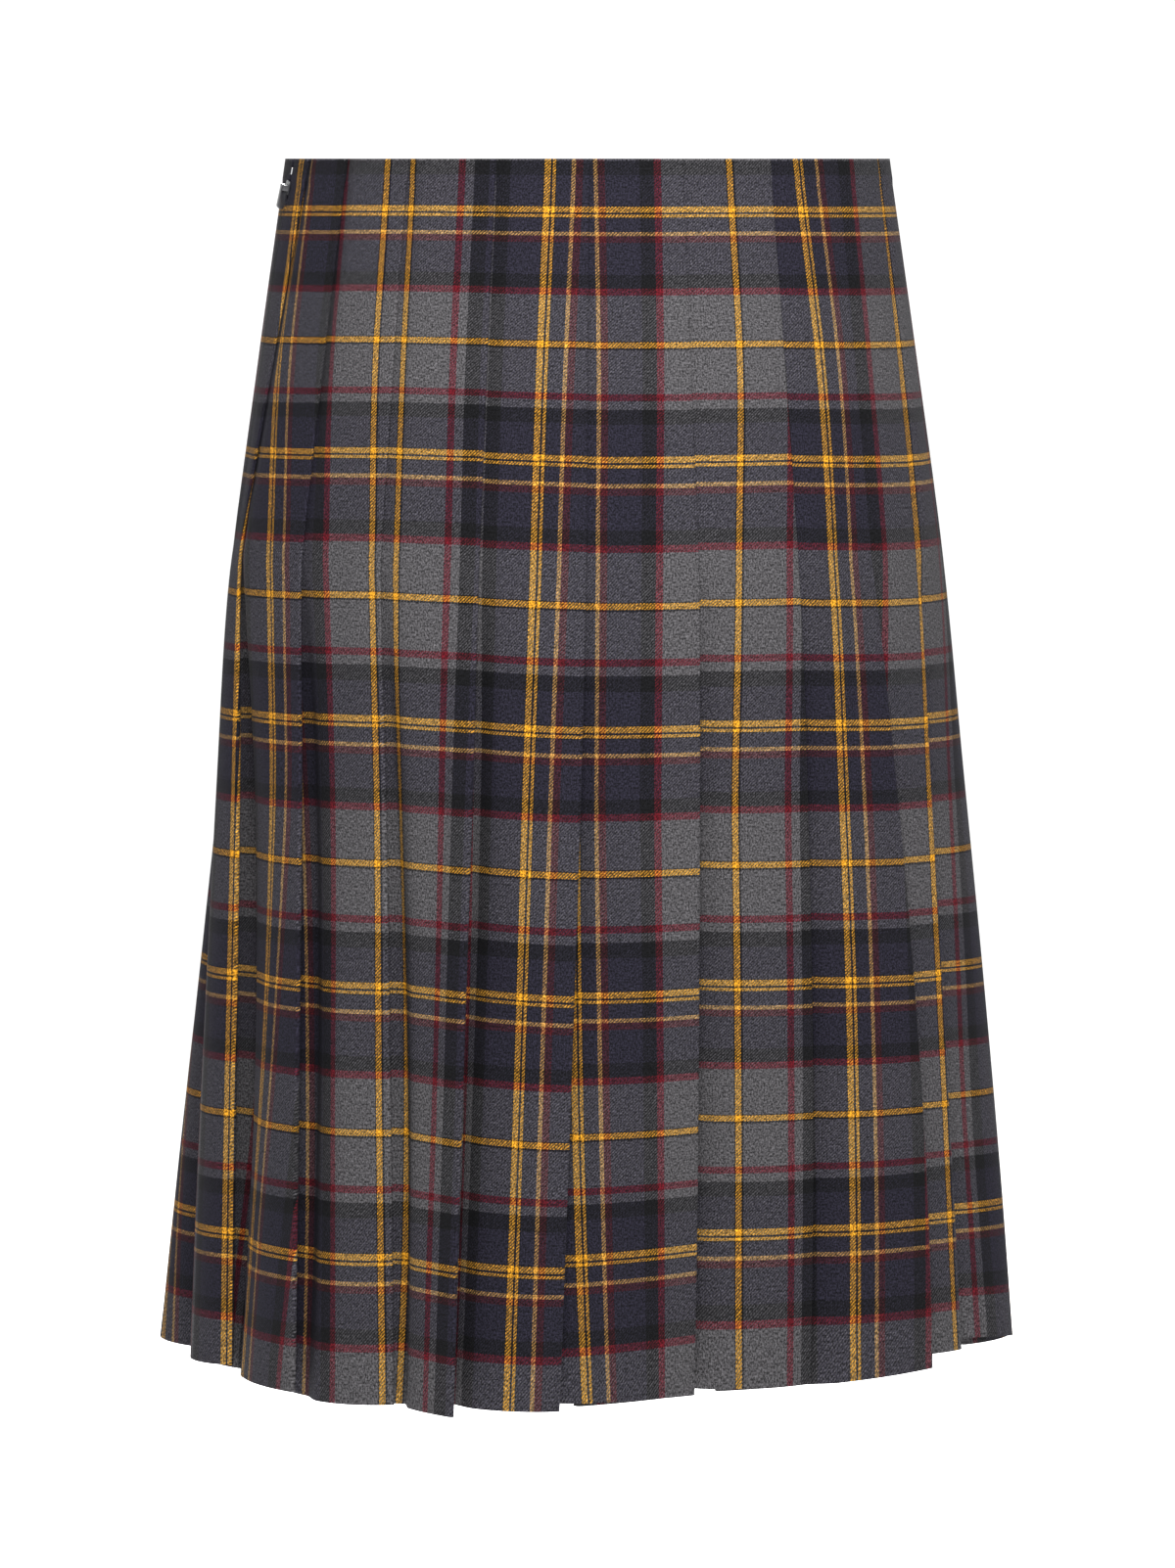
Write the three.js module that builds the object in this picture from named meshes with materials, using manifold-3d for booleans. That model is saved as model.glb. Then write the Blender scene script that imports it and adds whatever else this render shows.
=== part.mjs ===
// A knee-length pleated skirt in wool tartan, hanging open from its waist, with a zip at one side.
// Millimetres. +Z is up, the waist edge is at Z 0, the front faces -Y and +X is right in a front view.
import * as THREE from "three";
import { mergeVertices } from "three/addons/utils/BufferGeometryUtils.js";
import Module from "manifold-3d";

// Driving sizes
const LENGTH = 580;
const STITCHED_DOWN = 190;
const PLEAT_COUNT = 18;
const WALL = 1;
const LAYER_STEP = 2;
const SEAM_GAP = 0.3;

// The distance round the waist edge, which turns a lean in millimetres into a part of the way round.
const WAIST_ROUND = 795;

// Half sizes of the ring that the pleats' faces lie on, at distances down from the waist edge.
const SECTIONS = [
  { down: 0, halfWidth: 145.5, halfDepth: 106 },
  { down: 100, halfWidth: 160, halfDepth: 115.5 },
  { down: 200, halfWidth: 173.5, halfDepth: 124 },
  { down: 300, halfWidth: 182, halfDepth: 131 },
  { down: 400, halfWidth: 190, halfDepth: 138 },
  { down: 500, halfWidth: 197, halfDepth: 144 },
  { down: 580, halfWidth: 201.5, halfDepth: 148 },
];

// One row for each pleat, going round from the middle of the back, by way of the zip side,
// the middle of the front and the far side. All sizes but the first four are those at the hem.
// lean: how far the front fold is moved to the right along the waist edge.
// hipLean: how far it is moved to the right where the stitching ends.
// bow and swell: how far it bows to the right, and outwards, half way from there to the hem.
// across and ahead: where the front fold ends, to the right of and in front of the skirt's middle.
// open: how far the next pleat's face lies in behind this fold.
// belly: how far the middle of the pleat's face stands out.
// dropStart and dropEnd: how far the hem hangs below LENGTH where the face begins and at its fold.
const PLEATS = [
  { lean: 0, hipLean: 0, bow: 0, swell: 0, across: -2, ahead: -150, open: 12, belly: 3, dropStart: 0, dropEnd: 2 },
  { lean: 0, hipLean: 0, bow: 0, swell: 0, across: -64, ahead: -142, open: 9, belly: 5, dropStart: 1, dropEnd: 0 },
  { lean: 0, hipLean: 0, bow: 0, swell: 0, across: -124, ahead: -112, open: 15, belly: 2, dropStart: 0, dropEnd: 3 },
  { lean: 0, hipLean: 0, bow: 0, swell: 3, across: -199, ahead: -58, open: 8, belly: 4, dropStart: 1, dropEnd: 1 },
  { lean: 0, hipLean: 0, bow: 0, swell: 4, across: -189.5, ahead: 8, open: 10, belly: 19, dropStart: 2, dropEnd: 2 },
  { lean: 22, hipLean: 1, bow: 7, swell: 0, across: -172.5, ahead: 68, open: 4, belly: 13, dropStart: 2, dropEnd: -1 },
  { lean: 8, hipLean: 6.5, bow: 3, swell: 0, across: -140, ahead: 129, open: 9, belly: 2, dropStart: 1.5, dropEnd: 0 },
  { lean: 0, hipLean: 2, bow: 2, swell: 0, across: -92, ahead: 152, open: 4, belly: 5, dropStart: 4, dropEnd: 1.5 },
  { lean: 0, hipLean: 0, bow: 0, swell: 0, across: -64, ahead: 178, open: 23, belly: 0, dropStart: 2, dropEnd: 2 },
  { lean: 0, hipLean: -1, bow: 0, swell: 0, across: -14, ahead: 170, open: 13, belly: 5, dropStart: 1, dropEnd: 1 },
  { lean: 0, hipLean: 0, bow: 0, swell: 0, across: 50, ahead: 122, open: 13, belly: 2, dropStart: 0, dropEnd: 3 },
  { lean: 0, hipLean: -1.5, bow: 1.5, swell: 0, across: 106, ahead: 93, open: 3, belly: 4, dropStart: 2.5, dropEnd: 3 },
  { lean: -5, hipLean: -9, bow: 4, swell: 0, across: 166, ahead: 66, open: 16, belly: 2, dropStart: 5, dropEnd: 1 },
  { lean: -12, hipLean: -22, bow: -3, swell: 0, across: 182, ahead: 34, open: 14, belly: 1, dropStart: -3, dropEnd: -2 },
  { lean: -8, hipLean: -18, bow: 0, swell: 0, across: 210, ahead: -8, open: 12, belly: 2, dropStart: -6, dropEnd: -1 },
  { lean: -4, hipLean: -9, bow: 0, swell: 0, across: 172, ahead: -80, open: 9, belly: 6, dropStart: 0, dropEnd: 2 },
  { lean: 0, hipLean: -3, bow: 0, swell: 0, across: 124, ahead: -119, open: 14, belly: 3, dropStart: 1, dropEnd: 0 },
  { lean: 0, hipLean: 0, bow: 0, swell: 0, across: 62, ahead: -147, open: 7, belly: 4, dropStart: 0, dropEnd: 2 },
];

// Which pleats carry the two seams, by their places in the table.
const ZIP_PLEAT = 5;
const FAR_PLEAT = 14;

// How far the cloth swings out of the stitched ring below the stitching, from 0 there to 1 at the hem.
const SWAY_POWER = 1.1;
// The faces round out sooner below the stitching than the folds swing out.
const BELLY_POWER = 0.7;
// How much more the folds gape half way from the stitching to the hem than "open" gives.
const GAPE = 3;
// The part of a face that has its own pleat folded behind it.
const COVERED = 0.74;
// The pleat beside the zip is shallow where it is stitched, and as deep as the rest at the hem.
const COVERED_AT_ZIP = 0.08;
// Where the side opening runs in its pleat's face, from 0 where the face begins to 1 at its fold.
const OPENING_AT_WAIST = 0.776;
const OPENING_BELOW = 0.52;
// The opening's edges part a little at the top, round the slider.
const MOUTH_WIDTH = 3;
const MOUTH_DOWN = 34;

// Places down the skirt and across a face where the cloth is worked out.
const ROWS = [0, 34, 68, 102, 136, 170, 192, 215, 245, 285, 330, 375, 420, 465, 510, 550, 580];
const FACE_STEPS = [0.1, 0.24, 0.5, 0.76];
const EDGE_STEP = 0.2;
const RING_STEPS = 720;
const RISE_SHARE = 0.24;
const NORMAL_STEP = 0.01;

// Zip sizes
const ZIP_ROWS = [2, 34, 68, 102, 136, 170];
const TAPE_HALF_WIDTH = 8;
const TAPE_THICK = 0.8;
const TAPE_BEHIND_CLOTH = 0.6;
const COIL_HALF_WIDTH = 2;
const COIL_PROUD = 0.5;
const SLIDER_DOWN = 14;
const SLIDER_WIDTH = 5.4;
const SLIDER_HEIGHT = 6.4;
const SLIDER_PLATE = 0.5;
const NECK_WIDTH = 1.1;
const NECK_HEIGHT = 3;
const LUG_THICK = 0.7;
const PIN_RADIUS = 0.55;
const PULL_LENGTH = 12;
const PULL_THICK = 2.4;
const PULL_TOP_RADIUS = 1.4;
const PULL_TIP_RADIUS = 1.6;
const CLEARANCE = 0.3;
const STOP_DOWN = 6;
const STOP_WIDTH = 1.2;
const STOP_HEIGHT = 3.4;
const STOP_THICK = 0.9;

const cloth = new THREE.MeshStandardMaterial({ color: 0x45444a, roughness: 0.9, metalness: 0 });
const tape = new THREE.MeshStandardMaterial({ color: 0x151518, roughness: 0.85, metalness: 0 });
const enamel = new THREE.MeshStandardMaterial({ color: 0x0b0b0d, roughness: 0.25, metalness: 0.4 });
const steel = new THREE.MeshStandardMaterial({ color: 0xb9bbbd, roughness: 0.3, metalness: 1 });

function mix(from, to, share) {
  return from + (to - from) * share;
}

function smooth(value) {
  const share = Math.min(1, Math.max(0, value));
  return share * share * (3 - 2 * share);
}

function mixPoints(from, to, share) {
  return new THREE.Vector2(mix(from.x, to.x, share), mix(from.y, to.y, share));
}

// A smooth curve through one column of SECTIONS.
function readSections(down, column) {
  const last = SECTIONS.length - 1;
  let row = 0;
  while (row < last - 1 && SECTIONS[row + 1].down < down) {
    row += 1;
  }
  const [before, from, to, after] = [row - 1, row, row + 1, row + 2].map(
    (index) => SECTIONS[Math.min(last, Math.max(0, index))],
  );
  const span = to.down - from.down;
  const share = (down - from.down) / span;
  const slopeFrom = ((to[column] - before[column]) / (to.down - before.down)) * span;
  const slopeTo = ((after[column] - from[column]) / (after.down - from.down)) * span;
  const square = share * share;
  const cube = square * share;
  return (
    from[column] * (2 * cube - 3 * square + 1) +
    slopeFrom * (cube - 2 * square + share) +
    to[column] * (3 * square - 2 * cube) +
    slopeTo * (cube - square)
  );
}

// An ellipse that can be walked by shares of its length, from the middle of the front to the right.
function makeRing(down) {
  const halfWidth = readSections(down, "halfWidth");
  const halfDepth = readSections(down, "halfDepth");
  const at = (angle) => new THREE.Vector2(halfWidth * Math.sin(angle), -halfDepth * Math.cos(angle));
  const walked = [0];
  for (let step = 1; step <= RING_STEPS; step += 1) {
    const here = at((2 * Math.PI * step) / RING_STEPS);
    const before = at((2 * Math.PI * (step - 1)) / RING_STEPS);
    walked.push(walked[step - 1] + here.distanceTo(before));
  }
  return (share) => {
    const target = (share - Math.floor(share)) * walked[RING_STEPS];
    let low = 0;
    let high = RING_STEPS;
    while (high - low > 1) {
      const middle = Math.floor((low + high) / 2);
      if (walked[middle] > target) {
        high = middle;
      } else {
        low = middle;
      }
    }
    const part = (target - walked[low]) / (walked[high] - walked[low]);
    return at((2 * Math.PI * (low + part)) / RING_STEPS);
  };
}

// From 0 at the waist edge to 1 where the stitching ends, and 1 from there to the hem.
function stitchedShare(down) {
  return Math.min(1, down / STITCHED_DOWN);
}

// From 0 where the stitching ends to 1 at the hem, and 0 above the stitching's end.
function belowStitching(down) {
  return Math.max(0, (down - STITCHED_DOWN) / (LENGTH - STITCHED_DOWN));
}

// From 0 where the stitching ends to 1 half way to the hem, and back to 0 at the hem.
function halfWayDown(down) {
  const below = belowStitching(down);
  return 4 * below * (1 - below);
}

function foldShare(pleat, down) {
  const { lean, hipLean, bow } = PLEATS[(pleat + PLEAT_COUNT) % PLEAT_COUNT];
  const turns = (pleat - PLEAT_COUNT / 2) / PLEAT_COUNT;
  const moved = mix(lean, hipLean, stitchedShare(down)) + bow * halfWayDown(down);
  return turns + moved / WAIST_ROUND;
}

const hemRing = makeRing(LENGTH);

// How far a pleat's front fold has moved off the plain ring at the hem.
function hemShift(pleat) {
  const row = PLEATS[(pleat + PLEAT_COUNT) % PLEAT_COUNT];
  return new THREE.Vector2(row.across, -row.ahead).sub(hemRing(foldShare(pleat, LENGTH)));
}

function swayAt(down) {
  return Math.pow(belowStitching(down), SWAY_POWER);
}

// How far the next pleat's face lies in behind a fold, more than its layers take up.
function openAt(pleat, down) {
  return PLEATS[pleat].open * swayAt(down) + GAPE * halfWayDown(down);
}

// The direction to the right of the way from one point to the next, which is out of the skirt.
function outward(from, to) {
  return new THREE.Vector2(to.y - from.y, from.x - to.x).normalize();
}

// The face of a pleat at one height: a function from 0, under the fold before, to 1, its own fold.
function makeFace(pleat, down, ring) {
  const sway = swayAt(down);
  const before = (pleat + PLEAT_COUNT - 1) % PLEAT_COUNT;
  const startShift = hemShift(before).multiplyScalar(sway);
  const endShift = hemShift(pleat).multiplyScalar(sway);
  const startShare = foldShare(pleat - 1, down);
  const endShare = foldShare(pleat, down);
  const startSwell = PLEATS[before].swell * halfWayDown(down);
  const endSwell = PLEATS[pleat].swell * halfWayDown(down);
  const base = (part) => {
    const place = ring(mix(startShare, endShare, part));
    const length = place.length();
    return place
      .setLength(length + mix(startSwell, endSwell, part))
      .add(mixPoints(startShift, endShift, part));
  };
  const startOut = outward(base(-NORMAL_STEP), base(0));
  const tuck = startOut.multiplyScalar(-1);
  const open = openAt(before, down);
  const belly = PLEATS[pleat].belly * Math.pow(sway, BELLY_POWER);
  const point = (part) => {
    const out = outward(base(part - NORMAL_STEP), base(part + NORMAL_STEP));
    const layers = 2 * LAYER_STEP * (1 - smooth(part / RISE_SHARE));
    const step = layers + open * (1 - part);
    return base(part)
      .add(tuck.clone().multiplyScalar(step))
      .add(out.multiplyScalar(belly * 4 * part * (1 - part)));
  };
  return { point, open: openAt(pleat, down) };
}

function coveredShare(pleat, down) {
  if (pleat !== ZIP_PLEAT) {
    return COVERED;
  }
  return mix(COVERED_AT_ZIP, COVERED, smooth(swayAt(down)));
}

// The folds behind a face: the turn at its edge, the layer back, the inner turn and the layer under it.
function foldsBehind(pleat, down, face) {
  const innerPart = 1 - coveredShare(pleat, down);
  const edge = face.point(1);
  const edgeOut = outward(face.point(1 - NORMAL_STEP), edge);
  const inner = face.point(innerPart);
  const innerOut = outward(face.point(innerPart - NORMAL_STEP), face.point(innerPart + NORMAL_STEP));
  const moved = (from, out, depth) => from.clone().addScaledVector(out, -depth);
  return {
    edge,
    edgeBack: moved(edge, edgeOut, LAYER_STEP),
    backEnd: moved(inner, innerOut, LAYER_STEP + 0.1 * face.open),
    underStart: moved(inner, innerOut, 2 * LAYER_STEP + 0.35 * face.open),
  };
}

function openingPart(down) {
  return mix(OPENING_AT_WAIST, OPENING_BELOW, stitchedShare(down));
}

// Half of the space between the opening's two edges, as a share of its face.
function openingHalfGap(down, face) {
  const width = mix(MOUTH_WIDTH, SEAM_GAP, smooth(down / MOUTH_DOWN));
  const middle = openingPart(down);
  const span = face.point(middle - EDGE_STEP / 2).distanceTo(face.point(middle + EDGE_STEP / 2));
  return (width / 2) * (EDGE_STEP / span);
}

function dropAt(pleat, part) {
  return mix(PLEATS[pleat].dropStart, PLEATS[pleat].dropEnd, part);
}

// The cloth's middle line round a run of pleats at one height, as points with their hem drop.
function clothLine(down, firstPleat, lastPleat, startsAtOpening, endsAtOpening) {
  const ring = makeRing(down);
  const line = [];
  const add = (point, drop) => line.push({ point, drop });
  for (let count = firstPleat; count <= lastPleat; count += 1) {
    const pleat = count % PLEAT_COUNT;
    const face = makeFace(pleat, down, ring);
    const folds = foldsBehind(pleat, down, face);
    const fromOpening = startsAtOpening && count === firstPleat;
    const toOpening = endsAtOpening && count === lastPleat;
    const opening = openingPart(down);
    const halfGap = openingHalfGap(down, face);
    let parts = [0, ...FACE_STEPS];
    if (fromOpening) {
      parts = [opening + halfGap, mix(opening, 1, 0.5)];
    }
    if (toOpening) {
      parts = [0, FACE_STEPS[0], FACE_STEPS[1], opening - EDGE_STEP, opening - halfGap];
    }
    for (const part of parts) {
      add(face.point(part), dropAt(pleat, part));
    }
    if (!toOpening) {
      const next = (pleat + 1) % PLEAT_COUNT;
      add(folds.edge, dropAt(pleat, 1));
      add(folds.edgeBack, dropAt(pleat, 1));
      add(folds.backEnd, mix(dropAt(pleat, 0.5), dropAt(next, 0), 0.5));
      add(folds.underStart, mix(dropAt(pleat, 0.5), dropAt(next, 0), 0.5));
    }
  }
  return line;
}

// The two panels meet in the middle of the inner turn behind the far side's last front pleat.
function splitAtInnerTurn(line, keepsStart) {
  const turn = keepsStart ? line.slice(-2) : line.slice(0, 2);
  const length = turn[0].point.distanceTo(turn[1].point);
  const half = 0.5 - SEAM_GAP / 2 / length;
  const part = keepsStart ? half : 1 - half;
  const end = {
    point: mixPoints(turn[0].point, turn[1].point, part),
    drop: turn[0].drop,
  };
  return keepsStart ? [...line.slice(0, -1), end] : [end, ...line.slice(1)];
}

function frontLine(down) {
  const line = clothLine(down, ZIP_PLEAT, FAR_PLEAT - 1, true, false);
  return splitAtInnerTurn(line, true);
}

function backLine(down) {
  const ring = makeRing(down);
  const before = FAR_PLEAT - 1;
  const folds = foldsBehind(before, down, makeFace(before, down, ring));
  const drop = dropAt(FAR_PLEAT, 0);
  const start = [
    { point: folds.backEnd, drop },
    { point: folds.underStart, drop },
  ];
  const rest = clothLine(down, FAR_PLEAT, PLEAT_COUNT + ZIP_PLEAT, false, true);
  return splitAtInnerTurn([...start, ...rest], false);
}

// Points at a distance to the outside of a line, with its corners mitred.
function moveLine(line, distance) {
  return line.map((entry, index) => {
    const before = line[Math.max(0, index - 1)].point;
    const after = line[Math.min(line.length - 1, index + 1)].point;
    const outBefore = index > 0 ? outward(before, entry.point) : outward(entry.point, after);
    const outAfter = index < line.length - 1 ? outward(entry.point, after) : outBefore;
    const out = outBefore.clone().add(outAfter).normalize();
    const mitre = Math.min(1.5, 1 / Math.max(0.1, out.dot(outAfter)));
    return { point: entry.point.clone().addScaledVector(out, distance * mitre), drop: entry.drop };
  });
}

function heightOf(down, drop) {
  return -down - drop * Math.pow(down / LENGTH, 3);
}

// A closed wall between an outer and an inner sheet. Each sheet is a list of rows of [x, y, z].
function closedWall(outer, inner) {
  const rows = outer.length;
  const columns = outer[0].length;
  const positions = [...outer.flat(2), ...inner.flat(2)];
  const triangles = [];
  const outerAt = (row, column) => row * columns + column;
  const innerAt = (row, column) => rows * columns + row * columns + column;
  const quad = (a, b, c, d) => triangles.push(a, b, c, a, c, d);
  for (let row = 0; row < rows - 1; row += 1) {
    for (let column = 0; column < columns - 1; column += 1) {
      quad(
        outerAt(row, column),
        outerAt(row + 1, column),
        outerAt(row + 1, column + 1),
        outerAt(row, column + 1),
      );
      quad(
        innerAt(row, column),
        innerAt(row, column + 1),
        innerAt(row + 1, column + 1),
        innerAt(row + 1, column),
      );
    }
    const last = columns - 1;
    quad(outerAt(row, 0), innerAt(row, 0), innerAt(row + 1, 0), outerAt(row + 1, 0));
    quad(outerAt(row, last), outerAt(row + 1, last), innerAt(row + 1, last), innerAt(row, last));
  }
  for (let column = 0; column < columns - 1; column += 1) {
    const last = rows - 1;
    quad(outerAt(0, column), outerAt(0, column + 1), innerAt(0, column + 1), innerAt(0, column));
    quad(
      outerAt(last, column),
      innerAt(last, column),
      innerAt(last, column + 1),
      outerAt(last, column + 1),
    );
  }
  const geometry = new THREE.BufferGeometry();
  geometry.setAttribute("position", new THREE.Float32BufferAttribute(positions, 3));
  geometry.setIndex(triangles);
  geometry.computeVertexNormals();
  return geometry;
}

function panelGeometry(lineAt) {
  const sheet = (distance) =>
    ROWS.map((down) =>
      moveLine(lineAt(down), distance).map((entry) => [
        entry.point.x,
        entry.point.y,
        heightOf(down, entry.drop),
      ]),
    );
  return closedWall(sheet(WALL / 2), sheet(-WALL / 2));
}

// The middle of the side opening at one height, with the directions out of and along the cloth.
function openingFrame(down) {
  const face = makeFace(ZIP_PLEAT, down, makeRing(down));
  const middle = openingPart(down);
  const before = face.point(middle - NORMAL_STEP);
  const after = face.point(middle + NORMAL_STEP);
  const along = after.clone().sub(before).normalize();
  const perPart = after.distanceTo(before) / (2 * NORMAL_STEP);
  const besideOpening = (side) => face.point(middle + side / perPart);
  return { at: face.point(middle), along, out: outward(before, after), besideOpening };
}

// The closed zip behind the opening: two tapes and the coil between them, as one strip.
function zipStripGeometry() {
  const tapeFront = WALL / 2 + TAPE_BEHIND_CLOTH;
  const profile = [
    { side: -TAPE_HALF_WIDTH, behind: tapeFront },
    { side: -COIL_HALF_WIDTH, behind: tapeFront },
    { side: -COIL_HALF_WIDTH + COIL_PROUD, behind: tapeFront - COIL_PROUD },
    { side: COIL_HALF_WIDTH - COIL_PROUD, behind: tapeFront - COIL_PROUD },
    { side: COIL_HALF_WIDTH, behind: tapeFront },
    { side: TAPE_HALF_WIDTH, behind: tapeFront },
  ];
  const sheet = (behindOf) =>
    ZIP_ROWS.map((down) => {
      const { out, besideOpening } = openingFrame(down);
      return profile.map((spot) => {
        const place = besideOpening(spot.side).addScaledVector(out, -behindOf(spot));
        return [place.x, place.y, -down];
      });
    });
  return closedWall(
    sheet((spot) => spot.behind),
    sheet(() => tapeFront + TAPE_THICK),
  );
}

// A frame on the opening: X points out of the cloth, Z up along it and Y across the opening.
function openingGroup(down) {
  const here = openingFrame(down);
  const below = openingFrame(down + SLIDER_HEIGHT);
  const origin = new THREE.Vector3(here.at.x, here.at.y, -down);
  const lower = new THREE.Vector3(below.at.x, below.at.y, -down - SLIDER_HEIGHT);
  const up = origin.clone().sub(lower).normalize();
  const out = new THREE.Vector3(here.out.x, here.out.y, 0);
  out.addScaledVector(up, -out.dot(up)).normalize();
  const across = up.clone().cross(out);
  const frame = new THREE.Group();
  frame.setRotationFromMatrix(new THREE.Matrix4().makeBasis(out, across, up));
  frame.position.copy(origin);
  return frame;
}

const wasm = await Module();
wasm.setup();

function toSolid(geometry) {
  const bare = geometry.clone();
  bare.deleteAttribute("normal");
  bare.deleteAttribute("uv");
  const merged = mergeVertices(bare);
  return new wasm.Manifold(
    new wasm.Mesh({
      numProp: 3,
      vertProperties: merged.attributes.position.array,
      triVerts: new Uint32Array(merged.index.array),
    }),
  );
}

function joined(geometries) {
  const solids = geometries.map(toSolid);
  const whole = solids.slice(1).reduce((sum, solid) => sum.add(solid), solids[0]).getMesh();
  const geometry = new THREE.BufferGeometry();
  geometry.setAttribute("position", new THREE.BufferAttribute(whole.vertProperties, 3));
  geometry.setIndex(new THREE.BufferAttribute(whole.triVerts, 1));
  return geometry.toNonIndexed();
}

// A box with its faces at the given places on the opening's frame.
function boxBetween(low, high) {
  const size = high.map((value, axis) => value - low[axis]);
  const middle = high.map((value, axis) => (value + low[axis]) / 2);
  return new THREE.BoxGeometry(...size).translate(...middle);
}

const plateBack = WALL / 2 + CLEARANCE;
const plateFront = plateBack + SLIDER_PLATE;
const pinOut = plateFront + CLEARANCE + PULL_TOP_RADIUS;
const lugInside = PULL_THICK / 2 + CLEARANCE;
const coilFront = WALL / 2 + TAPE_BEHIND_CLOTH - COIL_PROUD;

// The slider: a plate on the cloth, a neck down into the opening, and two lugs with the pull's pin.
function sliderGeometry() {
  const halfWidth = SLIDER_WIDTH / 2;
  const halfHeight = SLIDER_HEIGHT / 2;
  const overlap = 0.2;
  const plate = boxBetween([plateBack, -halfWidth, -halfHeight], [plateFront, halfWidth, halfHeight]);
  const neck = boxBetween(
    [CLEARANCE - coilFront, -NECK_WIDTH / 2, -NECK_HEIGHT / 2],
    [plateBack + overlap, NECK_WIDTH / 2, NECK_HEIGHT / 2],
  );
  const lugs = [1, -1].map((side) => {
    const edges = [side * lugInside, side * (lugInside + LUG_THICK)].sort((a, b) => a - b);
    return boxBetween(
      [plateFront - overlap, edges[0], -PULL_TOP_RADIUS],
      [pinOut + PIN_RADIUS * 2, edges[1], PULL_TOP_RADIUS],
    );
  });
  const pinLength = 2 * lugInside + LUG_THICK;
  const pin = new THREE.CylinderGeometry(PIN_RADIUS, PIN_RADIUS, pinLength, 12).translate(pinOut, 0, 0);
  return joined([plate, neck, ...lugs, pin]);
}

// The pull: a drop-shaped tab with an eye for the pin, hanging down along the cloth.
function pullGeometry() {
  const reach = PULL_LENGTH - PULL_TOP_RADIUS - PULL_TIP_RADIUS;
  const lean = Math.asin((PULL_TIP_RADIUS - PULL_TOP_RADIUS) / reach);
  const outline = new THREE.Shape();
  outline.absarc(0, 0, PULL_TOP_RADIUS, lean, Math.PI - lean, false);
  outline.absarc(0, -reach, PULL_TIP_RADIUS, Math.PI - lean, 2 * Math.PI + lean, false);
  const eye = new THREE.Path();
  eye.absarc(0, 0, PIN_RADIUS + CLEARANCE, 0, 2 * Math.PI, true);
  outline.holes.push(eye);
  const geometry = new THREE.ExtrudeGeometry(outline, {
    depth: PULL_THICK,
    bevelEnabled: false,
    curveSegments: 10,
  });
  geometry.translate(0, 0, -PULL_THICK / 2);
  geometry.rotateX(Math.PI / 2);
  return geometry.translate(pinOut, 0, 0);
}

function stopGeometry() {
  const back = CLEARANCE - coilFront;
  return boxBetween(
    [back, -STOP_WIDTH / 2, -STOP_HEIGHT / 2],
    [back + STOP_THICK, STOP_WIDTH / 2, STOP_HEIGHT / 2],
  );
}

function addMesh(parent, name, geometry, material) {
  const mesh = new THREE.Mesh(geometry, material);
  mesh.name = name;
  parent.add(mesh);
}

const skirt = new THREE.Group();
addMesh(skirt, "front_panel", panelGeometry(frontLine), cloth);
addMesh(skirt, "back_panel", panelGeometry(backLine), cloth);
addMesh(skirt, "zip_strip", zipStripGeometry(), tape);

const slider = openingGroup(SLIDER_DOWN);
addMesh(slider, "zip_slider", sliderGeometry(), enamel);
addMesh(slider, "zip_pull", pullGeometry(), enamel);
skirt.add(slider);

const stop = openingGroup(STOP_DOWN);
addMesh(stop, "zip_top_stop", stopGeometry(), steel);
skirt.add(stop);

export default skirt;
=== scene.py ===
# A knee-length pleated skirt in wool tartan, hanging open from its waist, with a zip at one side.
# The tables below are in millimetres, in the same frame as the solids; meshes are made in metres.
import math

import bmesh
import bpy
import numpy as np
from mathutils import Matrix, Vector


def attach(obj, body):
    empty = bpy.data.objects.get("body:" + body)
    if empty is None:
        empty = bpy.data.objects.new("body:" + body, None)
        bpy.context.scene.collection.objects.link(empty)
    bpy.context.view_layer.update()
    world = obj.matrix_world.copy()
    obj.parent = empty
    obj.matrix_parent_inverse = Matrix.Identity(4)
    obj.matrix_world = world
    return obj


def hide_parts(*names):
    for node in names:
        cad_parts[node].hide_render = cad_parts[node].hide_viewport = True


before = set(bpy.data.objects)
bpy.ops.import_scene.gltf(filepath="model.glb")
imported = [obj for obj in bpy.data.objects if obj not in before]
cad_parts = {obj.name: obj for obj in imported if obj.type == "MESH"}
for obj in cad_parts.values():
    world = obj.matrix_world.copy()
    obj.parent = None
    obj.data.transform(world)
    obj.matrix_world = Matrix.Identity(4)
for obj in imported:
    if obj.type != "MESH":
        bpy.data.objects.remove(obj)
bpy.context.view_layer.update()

MM = 0.001

# Driving sizes
LENGTH = 580
STITCHED_DOWN = 190
PLEAT_COUNT = 18
CLOTH_THICK = 0.6
SEAM_GAP = 0.3
WAIST_ROUND = 795

# The waist edge is turned in this far down, and its thickness runs out over a little more.
WAIST_THICK = 1.3
WAIST_EDGE_DOWN = 9
WAIST_EDGE_EASE = 4

# The way from one layer of cloth to the next, and how fast the wider one takes over below.
LAYER_STEP_STITCHED = 1.1
LAYER_STEP_BELOW = 2
LAYER_STEP_EASE = 4

# Half sizes of the ring that the pleats' faces lie on, at distances down from the waist edge.
SECTION_COLUMNS = ("down", "half_width", "half_depth")
SECTION_ROWS = (
    (0, 145.5, 106),
    (100, 160, 115.5),
    (200, 173.5, 124),
    (300, 182, 131),
    (400, 190, 138),
    (500, 197, 144),
    (580, 201.5, 148),
)
SECTIONS = [dict(zip(SECTION_COLUMNS, row)) for row in SECTION_ROWS]

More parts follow.
